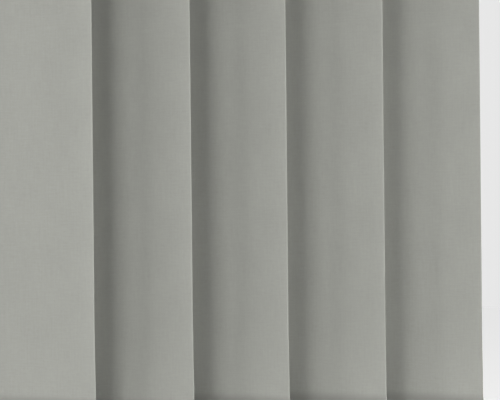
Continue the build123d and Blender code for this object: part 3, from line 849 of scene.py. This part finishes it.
    def shape(self, u: float, z: float, low: float, high: float) -> float:
        """Say how far the cloth stands back from its plane.

        Args:
            u: place across the vane, from its middle.
            z: height.
            low: the vane's lowest height.
            high: the vane's highest height.

        Returns:
            The distance away from the room, in metres.
        """
        foot_free = smooth(z, low + self.foot_held[0], low + self.foot_held[1])
        free = foot_free * smooth(high - z, self.top_held[0], self.top_held[1])
        amount = self.held_share + (1.0 - self.held_share) * free
        half = self.width / 2
        crown = -self.curl * (u / half) ** 2
        size, reach = (self.fit.edge_curl, self.edge_reach) if u > 0 else (self.rear_curl, self.rear_reach)
        near = max(abs(u) - (half - reach), 0.0) / reach
        edge = -size * near * near
        across, up, apart = self.wave_scale
        wave = self.wave * noise.noise(Vector((u * across, z * up, self.number * apart))) * free
        return (crown + edge) * amount + wave

    def marks(self) -> list[float]:
        """Place the mesh's columns, with one at each side of the hanger's slit and one inside each rim.

        Returns:
            Places across the vane, from its middle, in metres.
        """
        half = self.width / 2
        marks = [-half + self.width * i / self.columns for i in range(self.columns + 1)]
        for target in (-self.slit, self.slit):
            nearest = min(range(len(marks)), key=lambda k: abs(marks[k] - target))
            marks[nearest] = target
        marks[1] = -half + self.rim
        marks[-2] = half - self.rim
        return marks

    def faces(self, line: list[tuple[float, float]], marks: list[float]) -> list[tuple[int, ...]]:
        """Join the two sides' points into a closed sheet with the hanger's slit cut out.

        Args:
            line: the cloth's middle line.
            marks: the columns' places.

        Returns:
            Tuples of corner numbers.
        """
        count = len(line)
        wide = len(marks)
        back = count * wide
        crown_top = max(p[1] for p in line) - 2 * self.cloth

        def cell(j: int, i: int) -> bool:
            """Say whether the cloth is there, which it isn't at the hanger's slit.

            Args:
                j: the cell's row.
                i: the cell's column.

            Returns:
                True where there is cloth.
            """
            if not (0 <= j < count - 1 and 0 <= i < wide - 1):
                return False
            in_slit = abs(marks[i] + marks[i + 1]) / 2 < self.slit
            return not (in_slit and min(line[j][1], line[j + 1][1]) > crown_top)

        faces: list[tuple[int, ...]] = []
        for j in range(count - 1):
            for i in range(wide - 1):
                if not cell(j, i):
                    continue
                a = j * wide + i
                b = a + 1
                d = a + wide
                c = d + 1
                faces.append((a, b, c, d))
                faces.append((back + d, back + c, back + b, back + a))
                sides = (
                    (cell(j - 1, i), b, a),
                    (cell(j + 1, i), d, c),
                    (cell(j, i - 1), a, d),
                    (cell(j, i + 1), c, b),
                )
                for there, p, q in sides:
                    if not there:
                        faces.append((p, q, back + q, back + p))
        return faces

    def build(self) -> bpy.types.Object:
        """Build the cloth as a closed thin sheet.

        Returns:
            The vane's mesh object.
        """
        low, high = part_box(f"vane_fabric_{self.number}")
        stem = Vector(joint(f"vane_tilt_{self.number}")["pos_m"])
        along, behind = self.axes()
        line = self.path()
        marks = self.marks()
        normals, lengths = measure_line(line)
        half = self.width / 2
        seam_z = line[self.seam_row][1]
        verts: list[tuple[float, float, float]] = []
        uvs: list[tuple[float, float]] = []
        for sign in (1, -1):
            for (depth, z), out, length in zip(line, normals, lengths):
                for u in marks:
                    d = depth + sign * out[0] * self.cloth / 2
                    h = z + sign * out[1] * self.cloth / 2
                    bend = self.shape(u, h, low[2], high[2])
                    near_seam = 1.0 - smooth(abs(h - seam_z), 0.0, self.seam_reach)
                    h -= self.seam_fall * (u / half) * near_seam
                    drift = self.fit.lean * smooth(high[2] - h, 0.0, self.lean_drop)
                    point = stem + along * (u + drift) + behind * (d + bend)
                    verts.append((point.x, point.y, h))
                    uvs.append((u, length - lengths[self.seam_row]))
        self.obj = new_object(f"cloth_vane_{self.number}", verts, self.faces(line, marks), uvs)
        shade_smooth(self.obj, self.smooth_angle_deg)
        self.flat_length = lengths[-1]
        return self.obj

    def finish(self, wardrobe: Wardrobe, finish: ClothFinish) -> None:
        """Dress the vane, attach it to its body and hide the plain vane.

        Args:
            wardrobe: where the material comes from.
            finish: the cloth's finish.
        """
        if finish.slot not in wardrobe.made:
            wardrobe.made[finish.slot] = wardrobe.cloth(finish, self.width / 2)
        self.obj.data.materials.append(wardrobe.made[finish.slot])
        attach(self.obj, f"vane_{self.number}")
        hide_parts(f"vane_fabric_{self.number}")


# ---------------------------------------------------------------- small gear pieces


@dataclass
class WormThread:
    """The two-start thread that stands on a tilt worm's core."""

    number: int
    root: float = 4.35 * MM
    crest: float = 5.35 * MM
    lead: float = 6.6 * MM
    starts: int = 2
    length: float = 11.0 * MM
    base: float = 1.5 * MM
    tip: float = 0.7 * MM
    steps_per_turn: int = 28
    end_fade: float = 6.0
    smooth_angle_deg: float = 35.0

    def build(self) -> bpy.types.Object:
        """Build the thread's turns as ridges of four-sided section.

        Returns:
            The thread's mesh object.
        """
        centre = Vector(joint(f"worm_turn_{self.number}")["pos_m"])
        verts: list[tuple[float, float, float]] = []
        faces: list[tuple[int, ...]] = []
        turns = self.length / self.lead
        steps = int(turns * self.steps_per_turn)
        section = (
            (self.root, -self.base / 2),
            (self.crest, -self.tip / 2),
            (self.crest, self.tip / 2),
            (self.root, self.base / 2),
        )
        sides = len(section)
        for start in range(self.starts):
            first = len(verts)
            for k in range(steps + 1):
                a = 2 * math.pi * (turns * k / steps + start / self.starts)
                x = -self.length / 2 + self.length * k / steps
                fade = min(1.0, self.end_fade * k / steps, self.end_fade * (steps - k) / steps)
                for radius, shift in section:
                    r = self.root + (radius - self.root) * fade
                    y = centre.y + r * math.cos(a)
                    z = centre.z + r * math.sin(a)
                    verts.append((centre.x + x + shift, y, z))
            for k in range(steps):
                for i in range(sides):
                    here = first + sides * k + i
                    beside = first + sides * k + (i + 1) % sides
                    faces.append((here, here + sides, beside + sides, beside))
            end = first + sides * steps
            faces.append(tuple(range(first, first + sides)))
            faces.append(tuple(reversed(range(end, end + sides))))
        obj = new_object(f"worm_thread_{self.number}", verts, faces)
        shade_smooth(obj, self.smooth_angle_deg)
        return obj

    def finish(self, obj: bpy.types.Object, wardrobe: Wardrobe) -> None:
        """Dress the thread and let it turn with its worm.

        Args:
            obj: the thread.
            wardrobe: where the material comes from.
        """
        obj.data.materials.append(wardrobe.of("gear"))
        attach(obj, f"worm_core_{self.number}")


@dataclass
class Coupling:
    """The soft clear tube from the sloping shaft to the wand, in two runs."""

    radius: float = 2.0 * MM
    bore: float = 1.1 * MM
    bend: float = 8.0 * MM
    slope_deg: float = 45.0
    split: float = 3.9 * MM
    straight_steps: int = 10
    bend_steps: int = 12
    foot_steps: int = 8
    sides: int = 24
    smooth_angle_deg: float = 50.0

    def line(self) -> list[Vector]:
        """Trace the tube's middle, from the shaft's end round the bend to the wand.

        Returns:
            Points along the tube.
        """
        low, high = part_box("wand_coupling")
        pivot = Vector(joint("wand_swing_front")["pos_m"])
        slope = Vector(joint("wand_gear_turn")["axis"]).normalized()
        slant = math.radians(self.slope_deg)
        start_y = high[1] - self.radius * math.cos(slant)
        start_z = high[2] - self.radius * math.sin(slant)
        start = Vector((pivot.x, start_y, start_z))
        corner_z = start.z - (start.y - pivot.y)
        tangent = self.bend * math.tan(slant / 2)
        centre = Vector((pivot.x, pivot.y + self.bend, corner_z - tangent))
        straight_end = Vector((pivot.x, pivot.y, corner_z)) - slope * tangent
        points = [start.lerp(straight_end, i / self.straight_steps) for i in range(self.straight_steps + 1)]
        bend_start_deg = HALF_TURN_DEG - self.slope_deg
        for i in range(1, self.bend_steps + 1):
            a = math.radians(bend_start_deg + self.slope_deg * i / self.bend_steps)
            points.append(centre + Vector((0, self.bend * math.cos(a), self.bend * math.sin(a))))
        bend_end = points[-1]
        foot = Vector((pivot.x, pivot.y, low[2]))
        points += [bend_end.lerp(foot, i / self.foot_steps) for i in range(1, self.foot_steps + 1)]
        return points

    def cut(self) -> int:
        """Say where the tube's lower run begins.

        Returns:
            The number of the line's point at the split.
        """
        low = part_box("wand_coupling")[0][2]
        points = self.line()
        return min(range(len(points)), key=lambda k: abs(points[k].z - low - self.split))

    def build(self, name: str, first: int, last: int) -> bpy.types.Object:
        """Build one run of the tube as a closed ring-section sweep.

        Args:
            name: the run's name.
            first: the line's point that it starts at.
            last: the line's point that it ends at.

        Returns:
            The run's mesh object.
        """
        points = self.line()
        verts: list[tuple[float, float, float]] = []
        for k in range(first, last + 1):
            ahead = points[min(k + 1, len(points) - 1)] - points[max(k - 1, 0)]
            ahead.normalize()
            side = Vector((1, 0, 0))
            up = ahead.cross(side)
            for radius in (self.radius, self.bore):
                for i in range(self.sides):
                    a = 2 * math.pi * i / self.sides
                    verts.append(tuple(points[k] + side * radius * math.cos(a) + up * radius * math.sin(a)))
        ring = 2 * self.sides
        faces: list[tuple[int, ...]] = []
        for k in range(last - first):
            for i in range(self.sides):
                j = (i + 1) % self.sides
                p = ring * k + i
                q = ring * k + j
                faces.append((p, q, q + ring, p + ring))
                m = p + self.sides
                n = q + self.sides
                faces.append((n, m, m + ring, n + ring))
        end = ring * (last - first)
        for i in range(self.sides):
            j = (i + 1) % self.sides
            faces.append((j, i, i + self.sides, j + self.sides))
            faces.append((end + i, end + j, end + j + self.sides, end + i + self.sides))
        obj = new_object(name, verts, faces)
        shade_smooth(obj, self.smooth_angle_deg)
        return obj

    def finish(self, upper: bpy.types.Object, lower: bpy.types.Object, wardrobe: Wardrobe) -> None:
        """Dress the two runs, hide the plain coupling and bake the runs where they stand.

        Args:
            upper: the run at the shaft.
            lower: the run at the wand.
            wardrobe: where the material comes from.
        """
        points = self.line()
        meet = points[self.cut()].z
        for obj in (upper, lower):
            obj.data.materials.append(wardrobe.of("clear_tube"))
        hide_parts("wand_coupling")
        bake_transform(upper)
        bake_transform(lower)


# ---------------------------------------------------------------- studio


@dataclass(frozen=True)
class Lamp:
    """One soft light of the studio."""

    name: str
    azimuth_deg: float
    distance: float
    rise: float
    size: tuple[float, float]
    power: float


LAMPS = (
    Lamp("side", -84.0, 4.0, -0.15, (1.6, 0.8), 122.0),
    Lamp("key", -46.0, 4.0, -0.15, (2.2, 0.8), 62.0),
    Lamp("fill", 72.0, 1.4, 0.1, (0.6, 0.8), 36.0),
)
BACK_LAMP = Lamp("back", 160.0, 3.2, 0.9, (2.5, 2.0), 22.0)
TOP_LAMP = Lamp("top", 0.0, 0.8, 3.2, (5.0, 5.0), 45.0)


@dataclass
class Studio:
    """The pale floor, the soft lights and the camera."""

    distance: float = 1.75
    lens: float = 153.4
    aim_x: float = 29.4 * MM
    aim_above_seam: float = 165.7 * MM
    roll_deg: float = 0.55
    foot_pocket: float = ClothVane.foot_pocket
    floor_gap: float = 300.0 * MM
    floor_reach: float = 8.0
    floor_colour: tuple[float, float, float] = (0.82, 0.82, 0.81)
    floor_roughness: float = 0.9
    floor_specular: float = 0.1
    glow_near: float = 0.25
    glow_far: float = 0.72
    glow_limits: tuple[float, float] = (0.4, 3.2)
    sensor_width: float = 36.0
    sky: float = 0.06
    backdrop: float = 0.80

    def target(self) -> Vector:
        """Give the point that the camera and the lights face.

        Returns:
            The point, in metres.
        """
        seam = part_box("vane_fabric_1")[0][2] + self.foot_pocket
        return Vector((self.aim_x, 0.0, seam + self.aim_above_seam))

    def floor(self) -> None:
        """Lay a wide pale floor below the vanes, which glows softly to the camera further out."""
        z = CAD_BOX[0][2] - self.floor_gap
        reach = self.floor_reach
        corners = [(-reach, -reach, z), (reach, -reach, z), (reach, reach, z), (-reach, reach, z)]
        obj = new_object("floor", corners, [(0, 1, 2, 3)])
        material = bpy.data.materials.new("floor")
        material.use_nodes = True
        tree = material.node_tree
        shader = tree.nodes["Principled BSDF"]
        shader.inputs["Base Color"].default_value = (*self.floor_colour, OPAQUE)
        shader.inputs["Roughness"].default_value = self.floor_roughness
        shader.inputs["Specular IOR Level"].default_value = self.floor_specular
        place = add_node(tree, "ShaderNodeTexCoord").outputs["Object"]
        level = {0: place, 1: (1.0, 1.0, 0.0)}
        flat = add_node(tree, "ShaderNodeVectorMath", level, operation="MULTIPLY").outputs[0]
        away = add_node(tree, "ShaderNodeVectorMath", {0: flat}, operation="LENGTH").outputs["Value"]
        far = remap(tree, away, self.glow_limits, (0.0, 1.0), interpolation_type="SMOOTHSTEP")
        near_grey = (self.glow_near, self.glow_near, self.glow_near, OPAQUE)
        far_grey = (self.glow_far, self.glow_far, self.glow_far, OPAQUE)
        tree.links.new(mix_colours(tree, far, near_grey, far_grey), shader.inputs["Emission Color"])
        seen = add_node(tree, "ShaderNodeLightPath").outputs["Is Camera Ray"]
        tree.links.new(seen, shader.inputs["Emission Strength"])
        obj.data.materials.append(material)

    def hang(self, lamp: Lamp) -> None:
        """Hang one soft light.

        Args:
            lamp: the light, placed by its bearing from straight in front, its distance and its rise.
        """
        turn = math.radians(lamp.azimuth_deg)
        data = bpy.data.lights.new(lamp.name, "AREA")
        data.shape = "RECTANGLE"
        data.size, data.size_y = lamp.size
        data.energy = lamp.power
        obj = bpy.data.objects.new(lamp.name, data)
        offset = Vector((lamp.distance * math.sin(turn), -lamp.distance * math.cos(turn), lamp.rise))
        obj.location = self.target() + offset
        obj.rotation_euler = (-offset).to_track_quat("-Z", "Y").to_euler()
        obj.visible_camera = False
        bpy.context.scene.collection.objects.link(obj)

    def lights(self) -> None:
        """Hang the lights in a dim pale room."""
        for lamp in (*LAMPS, BACK_LAMP, TOP_LAMP):
            self.hang(lamp)
        world = bpy.data.worlds.new("studio")
        bpy.context.scene.world = world
        world.use_nodes = True
        background = world.node_tree.nodes["Background"]
        background.inputs["Color"].default_value = (1.0, 1.0, 1.0, OPAQUE)
        seen = add_node(world.node_tree, "ShaderNodeLightPath").outputs["Is Camera Ray"]
        strength = remap(world.node_tree, seen, (0.0, 1.0), (self.sky, self.backdrop))
        world.node_tree.links.new(strength, background.inputs["Strength"])
        bpy.context.scene.view_settings.view_transform = "Standard"

    def camera(self) -> None:
        """Set the camera level, square to the rail, close on the foot of the vanes."""
        data = bpy.data.cameras.new("camera")
        data.lens = self.lens
        data.sensor_width = self.sensor_width
        obj = bpy.data.objects.new("camera", data)
        obj.location = self.target() + Vector((0.0, -self.distance, 0.0))
        level = math.pi / 2
        obj.rotation_euler = (level, math.radians(self.roll_deg), 0)
        bpy.context.scene.collection.objects.link(obj)
        bpy.context.scene.camera = obj


# ---------------------------------------------------------------- making it


def main() -> None:
    """Build every piece in order."""
    logging.basicConfig(level=logging.INFO, format="%(name)s: %(message)s")
    wardrobe = Wardrobe()
    wardrobe.dress_frame()
    log.info("dressed %d carried-over pieces", len(frame["nodes"]))
    cloth = ClothFinish()
    for number, fit in enumerate(VANE_FITS, start=1):
        vane = ClothVane(number, fit)
        vane.build()
        vane.finish(wardrobe, cloth)
        log.info("cloth vane %d, cut %.0f mm long", number, vane.flat_length / MM)
        thread = WormThread(number)
        thread.finish(thread.build(), wardrobe)
        log.info("worm thread %d", number)
    coupling = Coupling()
    cut = coupling.cut()
    upper = coupling.build("soft_coupling", 0, cut)
    lower = coupling.build("soft_coupling_foot", cut, len(coupling.line()) - 1)
    coupling.finish(upper, lower, wardrobe)
    log.info("soft coupling")
    studio = Studio()
    studio.floor()
    studio.lights()
    studio.camera()
    log.info("floor, lights and camera")


if __name__ == "__main__":
    main()
